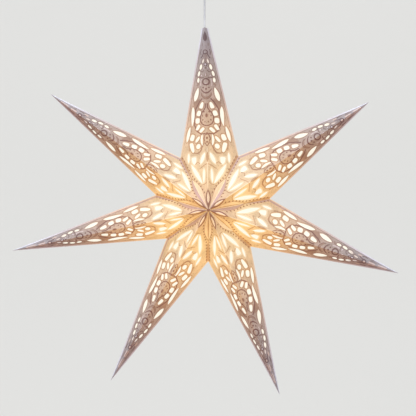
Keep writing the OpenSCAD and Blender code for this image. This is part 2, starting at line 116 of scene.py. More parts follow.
def makeRayDistance():
    # Share is 0 on the line through the star's centre, front to back, and 1 at a tip
    group, _, out = makeGroup("rayDistance", [], [("Share", "NodeSocketFloat")])
    place = addNode(group, "ShaderNodeTexCoord")
    fromCentre = addNode(group, "ShaderNodeVectorMath", operation="SUBTRACT")
    fromCentre.inputs[1].default_value = starCentre
    flattened = addNode(group, "ShaderNodeVectorMath", operation="MULTIPLY")
    flattened.inputs[1].default_value = (1, 0, 1)
    reach = addNode(group, "ShaderNodeVectorMath", operation="LENGTH")
    share = addNode(group, "ShaderNodeMath", operation="DIVIDE", use_clamp=True)
    share.inputs[1].default_value = rayReach
    group.links.new(place.outputs["Object"], fromCentre.inputs[0])
    group.links.new(fromCentre.outputs["Vector"], flattened.inputs[0])
    group.links.new(flattened.outputs["Vector"], reach.inputs[0])
    group.links.new(reach.outputs["Value"], share.inputs[0])
    group.links.new(share.outputs[0], out.inputs["Share"])
    return group


def makePaperFibre():
    # Cloudy patches, small flecks and long fibres, as in a sheet held up to a lamp
    group, into, out = makeGroup(
        "paperFibre",
        [("Cloud Scale", "NodeSocketFloat", 60.0), ("Fleck Scale", "NodeSocketFloat", 260.0),
         ("Fibre Scale", "NodeSocketFloat", 700.0)],
        [("Cloud", "NodeSocketFloat"), ("Fleck", "NodeSocketFloat"), ("Fibre", "NodeSocketFloat")],
    )
    place = addNode(group, "ShaderNodeTexCoord")
    cloud = addNode(group, "ShaderNodeTexNoise", Detail=3.0, Roughness=0.55)
    fleck = addNode(group, "ShaderNodeTexNoise", Detail=2.0, Roughness=0.6, Distortion=0.8)
    fibre = addNode(group, "ShaderNodeTexNoise", Detail=5.0, Roughness=0.7, Distortion=1.5)
    for node, label in ((cloud, "Cloud Scale"), (fleck, "Fleck Scale"), (fibre, "Fibre Scale")):
        group.links.new(place.outputs["Object"], node.inputs["Vector"])
        group.links.new(into.outputs[label], node.inputs["Scale"])
    group.links.new(cloud.outputs["Fac"], out.inputs["Cloud"])
    group.links.new(addBand(group, fleck.outputs["Fac"], 0.52, 0.68), out.inputs["Fleck"])
    group.links.new(fibre.outputs["Fac"], out.inputs["Fibre"])
    return group


def makeSurfaceGrain():
    # Fine grain with a soft wear mask, for metal, plastic and glaze
    group, into, out = makeGroup(
        "surfaceGrain",
        [("Grain Scale", "NodeSocketFloat", 900.0), ("Wear Scale", "NodeSocketFloat", 45.0)],
        [("Grain", "NodeSocketFloat"), ("Wear", "NodeSocketFloat")],
    )
    place = addNode(group, "ShaderNodeTexCoord")
    grain = addNode(group, "ShaderNodeTexNoise", Detail=4.0, Roughness=0.6)
    wear = addNode(group, "ShaderNodeTexNoise", Detail=6.0, Roughness=0.65)
    for node, label in ((grain, "Grain Scale"), (wear, "Wear Scale")):
        group.links.new(place.outputs["Object"], node.inputs["Vector"])
        group.links.new(into.outputs[label], node.inputs["Scale"])
    group.links.new(grain.outputs["Fac"], out.inputs["Grain"])
    group.links.new(addBand(group, wear.outputs["Fac"], 0.45, 0.75), out.inputs["Wear"])
    return group


def makeFacing():
    # Below is 1 on paper that faces down, where the studio's cool light doesn't reach; the paper uses it to
    # paint shade and warmer light there
    group, _, out = makeGroup("facing", [], [("Below", "NodeSocketFloat")])
    place = addNode(group, "ShaderNodeTexCoord")
    split = addNode(group, "ShaderNodeSeparateXYZ")
    group.links.new(place.outputs["Normal"], split.inputs["Vector"])
    group.links.new(addBand(group, split.outputs["Z"], -0.1, -0.7), out.inputs["Below"])
    return group


rayDistance = makeRayDistance()
facing = makeFacing()
paperFibre = makePaperFibre()
surfaceGrain = makeSurfaceGrain()


def newMaterial(name):
    material = bpy.data.materials.new(name)
    material.use_nodes = True
    tree = material.node_tree
    shader = tree.nodes["Principled BSDF"]
    return material, tree, shader


def placeGroup(tree, group, **values):
    node = addNode(tree, "ShaderNodeGroup", node_tree=group)
    for key, value in values.items():
        node.inputs[key.replace("_", " ")].default_value = value
    return node


def addRamp(tree, stops):
    ramp = tree.nodes.new("ShaderNodeValToRGB")
    points = ramp.color_ramp.elements
    while len(points) < len(stops):
        points.new(0.5)
    for point, (position, colour) in zip(points, stops):
        point.position = position
        point.color = colour
    return ramp


def mixColour(tree, factor, first, second, mode="MIX"):
    mix = addNode(tree, "ShaderNodeMix", data_type="RGBA", blend_type=mode)
    for value, socket in ((factor, mix.inputs[0]), (first, mix.inputs[6]), (second, mix.inputs[7])):
        if isinstance(value, bpy.types.NodeSocket):
            tree.links.new(value, socket)
        else:
            socket.default_value = value
    return mix.outputs[2]


def addBump(tree, height, strength, distance, shader):
    bump = addNode(tree, "ShaderNodeBump", Strength=strength, Distance=distance)
    tree.links.new(height, bump.inputs["Height"])
    tree.links.new(bump.outputs["Normal"], shader.inputs["Normal"])


# Lamp cord
cord = {
    "radius": 0.0014,  # m, as are all the heights that follow
    "low": -0.32744,  # in the lampholder's grip
    "top": -0.0763,  # under the bend
    "bendTop": -0.0635,
    "bendMiddle": -0.0695,
    "mouthGap": 0.0003,  # over the bend
    "sides": 20,
    "steps": 36,
    "bendSteps": 14,
}


def makeSheath():
    material, tree, shader = newMaterial("cordSheath")
    grain = placeGroup(tree, surfaceGrain, Grain_Scale=1500.0, Wear_Scale=80.0)
    colour = mixColour(tree, grain.outputs["Wear"], toLinear(214, 215, 220), toLinear(196, 197, 204))
    tree.links.new(colour, shader.inputs["Base Color"])
    shader.inputs["Roughness"].default_value = 0.42
    shader.inputs["Coat Weight"].default_value = 0.15
    addBump(tree, grain.outputs["Grain"], 0.25, 0.0002, shader)
    return material


cordSheath = makeSheath()


def addCurve(name, points, radius, material):
    data = bpy.data.curves.new(name, "CURVE")
    data.dimensions = "3D"
    data.bevel_depth = radius
    data.bevel_resolution = 5
    data.use_fill_caps = True
    line = data.splines.new("POLY")
    line.points.add(len(points) - 1)
    for spot, point in zip(line.points, points):
        spot.co = (*point, 1)
    data.materials.append(material)
    piece = bpy.data.objects.new(name, data)
    bpy.context.scene.collection.objects.link(piece)
    return piece


def addMesh(name, points, faces, materials, slots=None, smooth=False):
    data = bpy.data.meshes.new(name)
    data.from_pydata([tuple(p) for p in points], [], faces)
    for material in materials:
        data.materials.append(material)
    if slots is not None:
        data.polygons.foreach_set("material_index", slots)
    if smooth:
        data.polygons.foreach_set("use_smooth", [True] * len(data.polygons))
    data.update()
    piece = bpy.data.objects.new(name, data)
    bpy.context.scene.collection.objects.link(piece)
    return piece


def addTube(name, low, top, rings, radius, sides, material):
    points, faces = [], []
    for ring in range(rings + 1):
        height = low + (top - low) * ring / rings
        for side in range(sides):
            angle = 2 * math.pi * side / sides
            points.append((radius * math.cos(angle), radius * math.sin(angle), height))
    for ring in range(rings):
        for side in range(sides):
            first, second = ring * sides + side, ring * sides + (side + 1) % sides
            faces.append((first, second, second + sides, first + sides))
    faces.append(tuple(reversed(range(sides))))
    faces.append(tuple(rings * sides + side for side in range(sides)))
    return addMesh(name, points, faces, [material], smooth=True)


steps = cord["steps"]
cordLine = [(0, 0, cord["top"] + (cord["low"] - cord["top"]) * k / steps) for k in range(steps + 1)]
lampCord = addCurve("lampCord", cordLine, cord["radius"], cordSheath)
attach(lampCord, "lamp_set")
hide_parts("flex_cord")

upperBend = addTube("cordUpperBend", cord["bendMiddle"], cord["bendTop"] - cord["mouthGap"],
                    cord["bendSteps"], cord["radius"], cord["sides"], cordSheath)
lowerBend = addTube("cordLowerBend", cord["top"], cord["bendMiddle"],
                    cord["bendSteps"], cord["radius"], cord["sides"], cordSheath)
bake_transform(upperBend)
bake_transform(lowerBend)
for bend in (upperBend, lowerBend):
    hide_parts("cord_bend")
report("cord")

# Paper star
star = {
    "rayLength": 300.0,  # mm, as are the other lengths
    "halfDepth": 75.0,
    "topCut": 23.0,
    "topLean": 1.2,  # degrees that the top ray leans to the left
    "tipHeight": -124.5,
    # degrees from ridge to valley to ridge, counter-clockwise from the top ray
    "spreads": [27, 25.5, 20.4, 27.6, 22.8, 25.7, 29.6, 21.3, 28, 22.5, 28.8, 23.5, 27, 30.3],
    "reaches": [1, 0.993, 1.014, 0.996, 1.004, 1.016, 0.981],  # of rayLength, ray by ray
    "notches": [90, 83, 77, 78, 85, 95, 94],  # from the centre to the valleys' outer ends
    # how far the ornament of each ray sits from its drawing, low and high on the ray
    "slides": [(-0.4, -0.2), (-1.1, 1.2), (-1.6, 0.6), (-1.8, 0), (-0.7, 1.2), (0.6, 1.4), (1.2, 2.8)],
    "slideAt": (10, 20, 70),  # where no slide, the low one and the high one apply
    "patternSlope": 0.19,
    "sheet": 0.3,
    "liner": 0.12,
    "glue": 0.02,
    "flap": 0.15,
    "flapLength": 42.0,
    "flapWidth": 7.0,
    "ridgeInset": 0.5,
    "valleyInset": 0.33,
    "sideInset": 0.5,
    # corners of the glue flap, in shares of its length and width
    "flapShape": [(0.2, 0.2), (1, 0.05), (0.85, 0.8), (0.6, 1), (0.35, 0.6)],
    # faces that look up or down by more than the slant get painted light or painted shade beside their folds
    "slant": 0.3,  # a face that looks up or down by more than this has the lit or the shaded print
}
faceCount = len(star["spreads"])

# Each row: distance from the centre, distance from the ridge, length, width, lean, taper, bow and the
# two powers of its outline. Lengths are in hundredths of the ray's length.
leaf, oval, cell = (1, 1.5), (1, 1), (0.65, 0.65)
cuts = [
    (75.33, 1.13, 2.5, 0.8, -12, 0, 0, leaf),
    (72.33, 2.37, 2.83, 1.27, -12, 0, 0, oval),
    (69, 3.4, 2.73, 1.2, -14, 0, 0, oval),
    (65.67, 3.8, 2.53, 1.2, -4, 0, 0, oval),
    (58.5, 4.87, 7.33, 2.13, -16, -0.2, 0, leaf),
    (52.83, 2.37, 3.47, 1.8, -18, -0.35, 0, cell),
    (48.85, 3.87, 2.85, 2.2, -14, -0.12, 0, cell),
    (45.1, 4.6, 2.85, 2.27, -5, 0.05, 0, cell),
    (41.67, 4.47, 3.2, 1.6, -32, 0.1, 0, cell),
    (40.33, 2.47, 3.13, 1.6, -44, 0.1, 0, cell),
    (47.4, 7.2, 10.2, 1.85, -4, 0.3, -0.27, leaf),
    (38.47, 9.45, 8.2, 1.7, -14, 0, 0, leaf),
    (35.4, 2.25, 6.1, 1.2, 0, 0, 0.47, leaf),
    (35.73, 4.77, 3.67, 1.47, -36, 0, 0, oval),
    (32.2, 4.47, 2.67, 2.2, -20, 0, 0, oval),
    (36.77, 7.47, 3.33, 2.2, -20, -0.1, 0, cell),
    (31.63, 7.6, 5.17, 1.93, 14, 0.35, 0, cell),
    (26.17, 2.4, 6.17, 1.73, -22, 0, 0, leaf),
    (25.07, 6.8, 3.67, 2.2, 4, 0.45, 0, cell),
    (26.53, 9.6, 5, 1.2, -2, 0, 0, leaf),
    (18.23, 5.53, 11.33, 1.87, 29, 0, 0, leaf),
    (17.33, 1.93, 7.67, 1.13, -2, 0, 0, leaf),
]


pointCounts = {"cut": 16, "dot": 10, "halfRing": 11, "crescent": 8}
endGrowth = 2.2  # an outline that grows by 1 gets this much longer, and 2 wider


def unit(vector):
    return vector / np.linalg.norm(vector)


def direction(angle):
    return np.array([math.cos(math.radians(angle)), 0, math.sin(math.radians(angle))])


def cutOutline(row, grow, count):
    u, v, length, width, lean, taper, bow, (endPower, sidePower) = row
    fullLength, fullWidth = length + endGrowth * grow, width + 2 * grow
    points = []
    for k in range(count):
        angle = 2 * math.pi * k / count
        c, s = math.cos(angle), math.sin(angle)
        along = fullLength / 2 * math.copysign(abs(c) ** endPower, c)
        across = fullWidth / 2 * math.copysign(abs(s) ** sidePower, s) * (1 + taper * c)
        across += bow * (1 - (2 * along / fullLength) ** 2)
        turn = math.radians(lean)
        points.append((u + along * math.cos(turn) - across * math.sin(turn),
                       v + along * math.sin(turn) + across * math.cos(turn)))
    return points


def stroke(line, width):
    line = [np.array(p, float) for p in line]
    left, right = [], []
    for k, p in enumerate(line):
        way = unit(line[min(k + 1, len(line) - 1)] - line[max(k - 1, 0)])
        normal = np.array([-way[1], way[0]]) * width / 2
        left.append(tuple(p + normal))
        right.append(tuple(p - normal))
    return left + right[::-1]


def halfRing(u, outer, inner):
    angles = np.radians(np.linspace(0, 180, pointCounts["halfRing"]))
    big = [(u + outer * math.cos(a), outer * math.sin(a)) for a in angles]
    small = [(u + inner * math.cos(a), inner * math.sin(a)) for a in angles[::-1]]
    return big + small


def crescent(bottom, halfWidth, rise, thick, endThick):
    shares = np.linspace(0, 1, pointCounts["crescent"])
    low = [(bottom + rise * s * s, halfWidth * s) for s in shares]
    high = [(bottom + thick + (rise + endThick - thick) * s * s, halfWidth * s) for s in shares[::-1]]
    return low + high


def dot(u, v, length, width, lean=0):
    return cutOutline((u, v, length, width, lean, 0, 0, oval), 0, pointCounts["dot"])


# Each tone is a material slot of a face, counted as in the dictionary named sheet
ink, softInk, pale, petal, crease, halo, linerTone, flapTone, innerTone, fleck, paintedEdgeGlow = range(1, 12)

# Printed ornament of one face, from the tip down: tone and outline. It is cut off at the ridge.
prints = [
    (softInk, dot(83.8, 1.42, 1.9, 0.6)),
    (softInk, [(77.0, 0), (77.3, 1.2), (78.6, 0.6), (79.2, 0)]),
    (softInk, [(78, 0), (77.4, 0.6), (76, 0.35), (74.4, 0.5), (74, 0)]),
    (ink, halfRing(79.85, 1.25, 0.7)),
    (ink, stroke([(79.2, 0.95), (78.2, 1.25), (77.4, 1.75), (76.8, 2.2)], 0.5)),
    (ink, stroke([(81.5, 2.0), (79.8, 2.3), (78.6, 2.2)], 0.35)),
    (ink, dot(73.4, 0, 2, 1.9)),
    (pale, dot(73.4, 0, 1.1, 0.9)),
    (softInk, dot(71.6, 1.0, 1.5, 1.1, -30)),
    (pale, dot(71.6, 1.0, 0.9, 0.55, -30)),
    (ink, dot(71.6, 0, 1.0, 0.6)),
    (ink, stroke([(66.9, 0.9), (66.6, 2.0), (67.2, 3.1)], 0.4)),
    (pale, stroke([(66.3, 2.2), (64.6, 2.75), (62.6, 2.5)], 0.5)),
    (softInk, stroke([(64.9, 3.2), (63.6, 3.7), (62.9, 4.6)], 1.0)),
    (softInk, dot(68.1, 0, 2.1, 1.2)),
    (pale, dot(68.1, 0, 1.5, 0.6)),
    (softInk, dot(67.8, 2.05, 1.7, 1.2, 40)),
    (pale, dot(67.8, 2.05, 1.2, 0.65, 40)),
    (ink, stroke([(70.4, 0.7), (69.6, 1.7), (70.3, 2.3)], 0.35)),
    (ink, halfRing(64.6, 1.95, 1.2)),
    (pale, crescent(63.5, 0.8, 0.5, 0.35, 0.1)),
    (ink, dot(61.7, 1.37, 0.85, 0.8)),
    (ink, dot(60.9, 0, 1.0, 1.0)),
    (ink, crescent(58.5, 2.53, 2.2, 0.8, 0.8)),
    (ink, crescent(55.6, 2.5, 2.2, 1.25, 1.7)),
    (softInk, crescent(55.85, 2.3, 2.15, 0.75, 1.25)),
    (softInk, [(54.5, 6.7), (55.6, 4.6), (56.2, 3.15), (54.4, 3.25), (52.8, 3.75), (51.6, 4.7), (50.7, 5.5),
               (52.6, 6.3)]),
    (ink, stroke([(53.6, 0.45), (51.4, 0.55), (50.2, 1.3), (49.1, 2.25), (47.1, 3.1), (45.1, 3.12),
                  (43.4, 2.3), (42.6, 1.1), (42.4, 0)], 0.58)),
    (ink, dot(49.5, 1.3, 1.05, 0.8, 20)),
    (softInk, dot(47.5, 0, 2.2, 1.7)),
    (ink, dot(47.5, 0, 1.7, 0.9)),
    (ink, dot(47.5, 2.0, 1.0, 0.5)),
    (ink, dot(45.4, 1.92, 1.0, 0.55, -35)),
    (ink, dot(44.4, 0.8, 1.0, 0.5, -15)),
    (ink, stroke([(56.2, 2.0), (54.6, 3.4), (51.2, 5.35), (46.8, 6.15), (42.8, 6.1), (39.7, 4.8),
                  (38.2, 2.8), (38.5, 0.8)], 0.62)),
    (ink, stroke([(38.9, 0), (37.7, 0.95), (36, 1.45), (33.9, 1.0), (32.2, 0)], 0.5)),
    (ink, dot(38.1, 0, 0.9, 0.7)),
    (ink, dot(36.2, 0, 1.4, 0.9)),
    (ink, dot(34.2, 0, 1.1, 0.8)),
    (softInk, stroke([(41.4, 8.4), (38.0, 8.6), (34.0, 9.3), (30.0, 9.0)], 0.75)),
    (softInk, stroke([(34.6, 0.9), (32.6, 2.4), (30.2, 3.0), (28.6, 4.5), (28.9, 6.4), (29.7, 7.2)], 0.8)),
    (ink, stroke([(33.4, 2.0), (31.4, 2.75), (29.2, 3.8), (28.7, 5.4)], 0.3)),
    (softInk, [(24, 0), (25.5, 0.6), (27.5, 0.65), (29.4, 0)]),
    (softInk, stroke([(23.4, 0.2), (22.7, 1.6), (21.6, 3.0), (21.0, 4.0)], 0.5)),
    (softInk, stroke([(23.6, 3.8), (24.4, 5.0), (23.2, 6.2)], 0.5)),
    (softInk, stroke([(14.2, 0.5), (13.0, 1.5), (12.6, 2.8)], 0.4)),
    (ink, [(0.6, 0), (2.4, 0.62), (4.4, 1.15), (6.2, 1.25), (8.2, 0.95), (10.4, 0)]),
    (crease, [(3.4, 0), (4.8, 0.55), (6.4, 0.62), (7.8, 0.42), (9.2, 0)]),
    (ink, [(0, 0), (0.9, 0), (0.7, 0.35), (0.2, 0.4)]),
]
# At the tip the top ray has a dark lens, and the others pale flecks.
topTip = [(ink, [(85.3, 0), (85.9, 0.6), (86.8, 1.0), (87.8, 1.02), (88.9, 0.72), (89.9, 0.32), (90.6, 0)])]
otherTips = [
    (fleck, stroke([(92, 0.25), (90, 0.4), (87.2, 0.5)], 0.45)),
    (softInk, stroke([(86.6, 0.9), (85, 1.1), (82.5, 0.9)], 0.5)),
    (fleck, stroke([(85.6, 0.2), (84, 0.5), (82.2, 0.6)], 0.6)),
    (fleck, dot(79.85, 0, 1.3, 0.8)),
    (fleck, dot(77.2, 2.3, 2.4, 0.6, -8)),
    (softInk, stroke([(75.8, 0.6), (74.6, 1.5), (74.8, 2.4)], 0.5)),
]
ringWidth = {halo: 0.55, softInk: 0.5}
# The bright edge around the cuts near the centre is a painted glow.
haloReach = 29  # the cuts nearer to the centre have a bright edge, the others a brown one
# the cuts further out than that, up to the last reach given here, have a painted glow along their edge that
# reaches a little into the cut
paintedCutGlow, paintedEdgeGlowWidth, paintedEdgeGlowReach = 0.08, 0.1, 62


def faceFrame(index, side):
    turned = 90 + star["topLean"] + sum(star["spreads"][:index])
    nextTurned = turned + star["spreads"][index]
    tipAngle, notchAngle = (turned, nextTurned) if index % 2 == 0 else (nextTurned, turned)
    notchRadius = star["notches"][index // 2]
    reach = star["rayLength"] - star["topCut"]
    lean = math.radians(star["topLean"])
    centre = np.array([reach * math.sin(lean), 0, star["tipHeight"] - reach * math.cos(lean)])
    corner = centre + np.array([0, side * star["halfDepth"], 0])
    ray = (index + 1) % faceCount // 2
    length = star["rayLength"] * star["reaches"][ray]
    toTip = centre + length * direction(tipAngle) - corner
    toNotch = centre + notchRadius * direction(notchAngle) - corner
    ex = unit(toTip)
    ey = unit(toNotch - (toNotch @ ex) * ex)
    ez = np.cross(ex, ey)
    out = direction(tipAngle)
    away = unit(np.cross(out, [0, 1, 0]))
    spread = math.radians(star["spreads"][index])
    slope = notchRadius * math.sin(spread) / (length - notchRadius * math.cos(spread))
    ridge = np.linalg.norm(toTip)
    upward = ez[2] * math.copysign(1, ez @ (corner - centre))
    return {
        "corner": corner, "ex": ex, "ey": ey, "ez": ez,
        "inward": math.copysign(1, ez @ (centre - corner)),
        "ridge": ridge, "notch": (toNotch @ ex, toNotch @ ey),
        "perU": ridge / 100, "perV": slope / star["patternSlope"] * length / 100 / abs(ey @ away),
        "skew": (ey @ out) / (ex @ out), "capped": index in (0, faceCount - 1),
        "slide": star["slides"][ray],
        "lit": upward > star["slant"], "shaded": upward < -star["slant"],
    }


def faceOutline(f, ridgeInset, valleyInset, sideInset):
    notchP, notchQ = f["notch"]
    ridge = f["ridge"]
    valley = math.hypot(notchP, notchQ)
    edge = math.hypot(ridge - notchP, notchQ)
    lowP = (valleyInset * valley + ridgeInset * notchP) / notchQ
    farQ = notchQ - (valleyInset * valley + sideInset * edge) / ridge
    farP = (valleyInset * valley + farQ * notchP) / notchQ
    points = [(lowP, ridgeInset)]
    if f["capped"]:
        cutP = (1 - star["topCut"] / star["rayLength"]) * ridge
        points += [(cutP, ridgeInset), (cutP, ((ridge - cutP) * notchQ - sideInset * edge) / (ridge - notchP))]
    else:
        points.append((ridge - (sideInset * edge + ridgeInset * (ridge - notchP)) / notchQ, ridgeInset))
    points.append((farP, farQ))
    return points


def onFace(f, points):
    placed = []
    for u, v in points:
        q = max(v, 0) * f["perV"]
        u += np.interp(u, star["slideAt"], (0, *f["slide"]))
        placed.append((u * f["perU"] - q * f["skew"], q))
    return placed


def inside(spots, polygon):
    polygon = np.array(polygon)
    x, y = spots[:, 0], spots[:, 1]
    found = np.zeros(len(spots), bool)
    for (x1, y1), (x2, y2) in zip(polygon, np.roll(polygon, -1, axis=0)):
        if y1 == y2:
            continue
        crosses = (y1 > y) != (y2 > y)
        found ^= crosses & (x < (x2 - x1) * (y - y1) / (y2 - y1) + x1)
    return found


def alongValley(f, shapes):
    # Points given as distance from the centre along the valley and distance from it
    notchP, notchQ = f["notch"]
    valley = math.hypot(notchP, notchQ)
    along, off = np.array([notchP, notchQ]) / valley, np.array([notchQ, -notchP]) / valley
    return [tuple(s * along + t * off) for s, t in shapes]


beads = {  # mm along the valley and from it, beside the petals
    "count": 13,
    "first": 22,
    "pitch": 5.3,
    "along": (22, 34, 42, 50, 60, 86),
    "off": (9.2, 9, 7, 4.4, 3.6, 3.4),
    "radii": (1.5, 1.4),
}


def valleyPrintsAndPaintedLight(f):
    # The distances along the valley are for one of 90 mm
    stretch = math.hypot(*f["notch"]) / 90
    # Beside the valley, faces that look up get strips of painted lilac light and faces that look down a strip
    # of painted shade, in place of the pale crease band or the brown print
    lower = petal if f["lit"] else crease
    upper = softInk if f["shaded"] else crease
    outer = petal if f["lit"] else softInk
    shapes = [
        (softInk, ((5, 0), (10, 2.4), (18, 5.7), (26, 8.1), (33, 8.3), (40, 6.3), (47, 3.2), (53, 1), (53, 0))),
        (lower, ((3, 0), (10, 2), (18, 5), (26, 7.2), (33, 7.4), (40, 5.4), (47, 2.4), (52, 0))),
        (upper, ((4, 0), (12, 0.9), (30, 1.5), (45, 1.1), (51, 0))),
        (outer, ((50, 0), (56, 1.2), (66, 3.4), (78, 4.6), (89, 4), (89, 0))),
        (softInk, ((50, 0), (53, 0.7), (66, 0.9), (80, 0.8), (89, 0.3), (89, 0))),
    ]
    rows = [(tone, [(s * stretch, t) for s, t in line]) for tone, line in shapes]
    along, across = beads["radii"]
    for k in range(beads["count"]):
        s = beads["first"] + beads["pitch"] * k
        t = np.interp(s, beads["along"], beads["off"])
        rows.append((ink, [(s * stretch + along * math.cos(a), t + across * math.sin(a))
                           for a in np.radians(range(0, 360, 45))]))
    return [(tone, alongValley(f, points)) for tone, points in rows]


rimShapes = {  # each point: share of the way from the tip to the notch, and mm from the side fold
    "rim": [(0, 0), (1, 0), (1, 2), (0.8, 3.2), (0.4, 3.8), (0.15, 3), (0.04, 1.3)],
    "line": [(0.06, 1.8), (0.15, 3.8), (0.3, 5.1), (0.6, 5.2), (0.8, 4.6), (0.8, 3.4), (0.6, 3.7),
             (0.3, 3.6), (0.12, 2.2)],
    "band": [(0.5, 0), (1, 0), (1, 6.5), (0.85, 6.8), (0.7, 5.4), (0.5, 3.4)],
    "hatch": [(0, 4.2), (0.02, 5.4), (0.035, 4.4), (0.015, 3.4)],
    "hatchAt": np.arange(0.6, 0.95, 0.05),
}


def rimPrintsAndPaintedLight(f):
    # A pale rim along the side fold, where the paper is creased, with a painted highlight that is lighter and
    # cooler towards the tip. Faces that look up also get a band of painted lilac light with brown hatching.
    notchP, notchQ = f["notch"]
    ridge = f["ridge"]
    way = np.array([notchP - ridge, notchQ])
    length = np.linalg.norm(way)
    way /= length
    inwards = np.array([-way[1], way[0]])
    if inwards @ (np.array([notchP / 2, 0]) - np.array([ridge, 0])) < 0:
        inwards = -inwards

    rows = []
    if f["lit"]:
        rows.append((petal, rimShapes["band"]))
        for share in rimShapes["hatchAt"]:
            rows.append((softInk, [(share + step, off) for step, off in rimShapes["hatch"]]))
    rows += [(softInk, rimShapes["line"]), (pale, rimShapes["rim"])]
    return [(tone, [tuple(np.array([ridge, 0]) + share * length * way + off * inwards) for share, off in line])
            for tone, line in rows]


def facePrints(f):
    rows = prints + (topTip if f["capped"] else otherTips)
    return [(tone, onFace(f, points)) for tone, points in rows]


# each point: hundredths of the ray's length, and mm from the ridge
ridgeCrease = [(11, 0), (11, 0.7), (20, 1.4), (31, 0.9), (31.5, 0)]


def ridgePrints(f):
    return [(crease, [(u * f["perU"], q) for u, q in ridgeCrease])]


weld = 0.001  # mm, points closer than this become one


def flatFace(f):
    # The printed sheet, with its painted light and shade: corner points, triangles, the tone of each triangle,
    # and the holes
    def cutShape(row, grow):
        return onFace(f, cutOutline(row, grow, pointCounts["cut"]))

    outline = faceOutline(f, 0, 0, 0)
    holes, rings = [], []
    for row in cuts:
        # Each cut gets a painted glow ring near the centre and a brown printed ring further out; the middle
        # cuts also get a narrow painted glow along their edge
        edgeGlowPainted = haloReach < row[0] < paintedEdgeGlowReach
        tone = halo if row[0] < haloReach else softInk
        holes.append(cutShape(row, -paintedCutGlow if edgeGlowPainted else 0))
        rings.append((tone, cutShape(row, ringWidth[tone])))
        if edgeGlowPainted:
            rings.append((paintedEdgeGlow, cutShape(row, paintedEdgeGlowWidth)))
    shapes = rings + ridgePrints(f) + valleyPrintsAndPaintedLight(f) + facePrints(f) + rimPrintsAndPaintedLight(f)
    loops = [outline] + holes + [points for _, points in shapes]
    spots, edges = [], []
    for loop in loops:
        first = len(spots)
        spots += [Vector(p) for p in loop]
        edges += [(first + k, first + (k + 1) % len(loop)) for k in range(len(loop))]
    found = geometry.delaunay_2d_cdt(spots, edges, [], 0, weld)
    points = np.array([tuple(p) for p in found[0]])
    triangles = np.array([tuple(t) for t in found[2]])
    middle = points[triangles].mean(axis=1)
    keep = inside(middle, outline)
    for hole in holes:
        keep &= ~inside(middle, hole)
    triangles, middle = triangles[keep], middle[keep]
    tones = np.zeros(len(triangles), int)
    for tone, loop in shapes:
        tones[inside(middle, loop)] = tone
    return points, triangles, tones, holes


def buildFace(name, index, side, flat):
    f = faceFrame(index, side)
    points, triangles, tones, holes = flat
    corners, faces, slots = [], [], []

    def lift(p, q, depth):
        spot = f["corner"] + p * f["ex"] + q * f["ey"] + f["inward"] * depth * f["ez"]
        return tuple(spot / 1000)

    def addSides(first, count, tone, turned=False):
        for k in range(count):
            n = (k + 1) % count
            side = (first + k, first + n, first + count + n, first + count + k)
            faces.append((side[0], *side[:0:-1]) if turned else side)
            slots.append(tone)

    flip = f["inward"] > 0
    corners += [lift(p, q, 0) for p, q in points]
    for triangle, tone in zip(triangles, tones):
        faces.append(tuple(int(k) for k in (triangle[::-1] if flip else triangle)))
        slots.append(int(tone))
    for hole in holes:  # the cut edges of the sheet
        first, count = len(corners), len(hole)
        corners += [lift(p, q, 0) for p, q in hole] + [lift(p, q, star["sheet"]) for p, q in hole]
        addSides(first, count, pale)
    back = star["sheet"] + star["glue"] + star["liner"]
    inner = faceOutline(f, star["ridgeInset"], star["valleyInset"], star["sideInset"])
    outer = faceOutline(f, 0, 0, 0)
    first, count = len(corners), len(outer)
    corners += [lift(p, q, 0) for p, q in outer] + [lift(p, q, back) for p, q in inner]
    addSides(first, count, pale)
    faces.append(tuple(first + count + k for k in range(count)))
    slots.append(innerTone)
    front = len(corners)
    corners += [lift(p, q, star["sheet"] + star["glue"]) for p, q in inner]
    faces.append(tuple(front + k for k in (range(count - 1, -1, -1) if flip else range(count))))
    slots.append(linerTone)
    flap = alongValley(f, [(a * star["flapLength"], star["valleyInset"] + b * star["flapWidth"])
                           for a, b in star["flapShape"]])
    first, count = len(corners), len(flap)
    for depth in (back + star["glue"], back + star["glue"] + star["flap"]):
        corners += [lift(p, q, depth) for p, q in flap]
    faces.append(tuple(range(first, first + count)))
    faces.append(tuple(range(first + 2 * count - 1, first + count - 1, -1)))
    slots += [flapTone, flapTone]
    addSides(first, count, flapTone, turned=True)
    return addMesh(name, corners, faces, starMaterials, slots)


# From the centre out to a tip: the lamp's light that comes through the paper, and the paper's own colour.
# Both are linear, and each finish has a share of them.
lampGlow = [
    (0.0, (0.45, 0.245, 0.06)), (0.08, (0.57, 0.31, 0.08)), (0.14, (0.76, 0.46, 0.18)),
    (0.19, (0.84, 0.54, 0.25)), (0.31, (0.73, 0.44, 0.2)), (0.43, (0.54, 0.33, 0.175)),
    (0.57, (0.315, 0.18, 0.12)), (0.71, (0.2, 0.1, 0.065)), (0.85, (0.153, 0.06, 0.045)),
    (1.0, (0.1, 0.05, 0.05)),
]
sheetColour = [
    (0.0, (0.3, 0.28, 0.3)), (0.08, (0.28, 0.26, 0.28)), (0.16, (0.12, 0.14, 0.16)),
    (0.31, (0.12, 0.16, 0.18)), (0.43, (0.2, 0.18, 0.18)), (0.57, (0.24, 0.22, 0.21)),
    (0.71, (0.24, 0.25, 0.26)), (0.85, (0.25, 0.28, 0.31)), (1.0, (0.3, 0.33, 0.37)),
]
# the same for the pale tone, which along the creased rims also serves as a painted highlight, lighter and
# cooler towards the tips
paleAndRimHighlightColour = sheetColour[:6] + [
    (0.71, (0.28, 0.29, 0.31)), (0.85, (0.36, 0.41, 0.46)), (1.0, (0.42, 0.47, 0.54)),
]
# and the same for the liner, which shows in the cuts and inside the star
linerGlow = [
    (0.0, (0.9, 0.85, 0.7)), (0.5, (0.89, 0.85, 0.71)), (0.735, (0.87, 0.8, 0.66)),
    (0.76, (0.6, 0.47, 0.41)), (1.0, (0.3, 0.26, 0.26)),
]
linerColour = [(0.0, (0.16, 0.16, 0.15)), (1.0, (0.2, 0.2, 0.2))]
